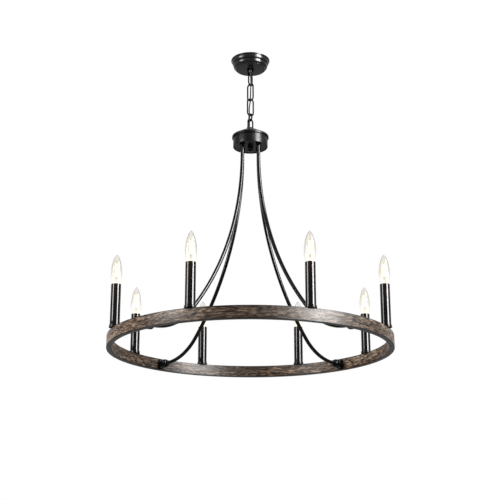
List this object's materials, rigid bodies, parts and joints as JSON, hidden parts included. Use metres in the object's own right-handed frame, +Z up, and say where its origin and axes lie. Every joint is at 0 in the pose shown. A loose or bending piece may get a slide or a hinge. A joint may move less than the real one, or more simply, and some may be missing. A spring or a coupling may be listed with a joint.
{
  "type": "wagon wheel chandelier",
  "caption": "Ceiling light: a wood-grained ring of candle lamps on bent tube arms, a round hub, a chain and a canopy.",
  "frame": {"origin": "on the ceiling, in the middle of the crossbar's top face", "axes": "+Z up along the chain, -Y to the front, +X to the right seen from the front"},
  "size_m": [0.7109, 0.711, 0.796],
  "materials": {
    "plated_steel": "zinc plated",
    "black_metal": "satin black lacquer",
    "black_sleeve": "semi-gloss black lacquer",
    "green_screw": "green",
    "terminal_plastic": "ivory",
    "black_plastic": "moulded",
    "cord_sheath": "extruded",
    "wood_grain_paint": "brown-grey wood grain, satin",
    "brass": "bright",
    "bulb_glass": "clear",
    "bulb_brass": "bright"
  },
  "bodies": {
    "ceiling": {"crossbar": "plated_steel", "canopy_nipple": "plated_steel", "canopy_locknuts": "plated_steel", "canopy": "black_metal", "canopy_loop": "black_metal", "ground_screw": "green_screw", "terminal_block": "terminal_plastic", "canopy_bushing": "black_plastic", "power_cord": "cord_sheath"},
    "top_link": {"top_link": "black_metal"},
    "link_2": {"link_2": "black_metal"},
    "link_3": {"link_3": "black_metal"},
    "short_link": {"short_link": "black_metal"},
    "fixture": {"hub_loop": "black_metal", "hub_cap": "black_metal", "hub_bushing": "black_plastic", "hub_body": "black_metal", "hub_plate": "black_metal", "hub_rod": "plated_steel", "rod_locknuts": "plated_steel", "hub_finial": "black_metal", "hub_junction": "black_plastic", "arm_1": "black_metal", "arm_2": "black_metal", "arm_3": "black_metal", "arm_4": "black_metal", "arm_collars": "black_metal", "arm_locknuts": "plated_steel", "arm_ferrules": "black_metal", "arm_barrels": "black_metal", "arm_pads": "black_metal", "arm_studs": "plated_steel", "stud_nuts": "plated_steel", "arm_wires": "cord_sheath", "ring_channel": "wood_grain_paint", "ring_floor": "wood_grain_paint", "ring_wires": "cord_sheath", "candle_posts": "plated_steel", "post_locknuts": "plated_steel", "candle_cups": "black_metal", "candle_sleeves": "black_sleeve", "socket_bodies": "black_plastic", "socket_shells": "brass", "socket_contacts": "brass"},
    "bulb_1": {"bulb_glass_1": "bulb_glass", "bulb_base_1": "bulb_brass"},
    "bulb_2": {"bulb_glass_2": "bulb_glass", "bulb_base_2": "bulb_brass"},
    "bulb_3": {"bulb_glass_3": "bulb_glass", "bulb_base_3": "bulb_brass"},
    "bulb_4": {"bulb_glass_4": "bulb_glass", "bulb_base_4": "bulb_brass"},
    "bulb_5": {"bulb_glass_5": "bulb_glass", "bulb_base_5": "bulb_brass"},
    "bulb_6": {"bulb_glass_6": "bulb_glass", "bulb_base_6": "bulb_brass"},
    "bulb_7": {"bulb_glass_7": "bulb_glass", "bulb_base_7": "bulb_brass"},
    "bulb_8": {"bulb_glass_8": "bulb_glass", "bulb_base_8": "bulb_brass"}
  },
  "joints": [
    {"name": "swing_top_link", "type": "hinge", "parent": "ceiling", "child": "top_link", "pos_m": [0, 0, -0.0435], "axis": [0.866, -0.5, 0], "range_deg": [-20, 20], "deforming": ["power_cord"]},
    {"name": "swing_link_2", "type": "hinge", "parent": "top_link", "child": "link_2", "pos_m": [0, 0, -0.0732], "axis": [0.5299, 0.848, 0], "range_deg": [-20, 20], "deforming": ["power_cord"]},
    {"name": "swing_link_3", "type": "hinge", "parent": "link_2", "child": "link_3", "pos_m": [0, 0, -0.1169], "axis": [0.829, -0.5592, 0], "range_deg": [-20, 20], "deforming": ["power_cord"]},
    {"name": "swing_short_link", "type": "hinge", "parent": "link_3", "child": "short_link", "pos_m": [0, 0, -0.1606], "axis": [0.866, 0.5, 0], "range_deg": [-20, 20], "deforming": ["power_cord"]},
    {"name": "swing_fixture", "type": "hinge", "parent": "short_link", "child": "fixture", "pos_m": [0, 0, -0.1753], "axis": [0.5299, -0.848, 0], "range_deg": [-20, 20], "deforming": ["power_cord"]},
    {"name": "unscrew_bulb_1", "type": "slide", "parent": "fixture", "child": "bulb_1", "axis": [0, 0, 1], "range_m": [0, 0.028]},
    {"name": "unscrew_bulb_2", "type": "slide", "parent": "fixture", "child": "bulb_2", "axis": [0, 0, 1], "range_m": [0, 0.028]},
    {"name": "unscrew_bulb_3", "type": "slide", "parent": "fixture", "child": "bulb_3", "axis": [0, 0, 1], "range_m": [0, 0.028]},
    {"name": "unscrew_bulb_4", "type": "slide", "parent": "fixture", "child": "bulb_4", "axis": [0, 0, 1], "range_m": [0, 0.028]},
    {"name": "unscrew_bulb_5", "type": "slide", "parent": "fixture", "child": "bulb_5", "axis": [0, 0, 1], "range_m": [0, 0.028]},
    {"name": "unscrew_bulb_6", "type": "slide", "parent": "fixture", "child": "bulb_6", "axis": [0, 0, 1], "range_m": [0, 0.028]},
    {"name": "unscrew_bulb_7", "type": "slide", "parent": "fixture", "child": "bulb_7", "axis": [0, 0, 1], "range_m": [0, 0.028]},
    {"name": "unscrew_bulb_8", "type": "slide", "parent": "fixture", "child": "bulb_8", "axis": [0, 0, 1], "range_m": [0, 0.028]}
  ]
}
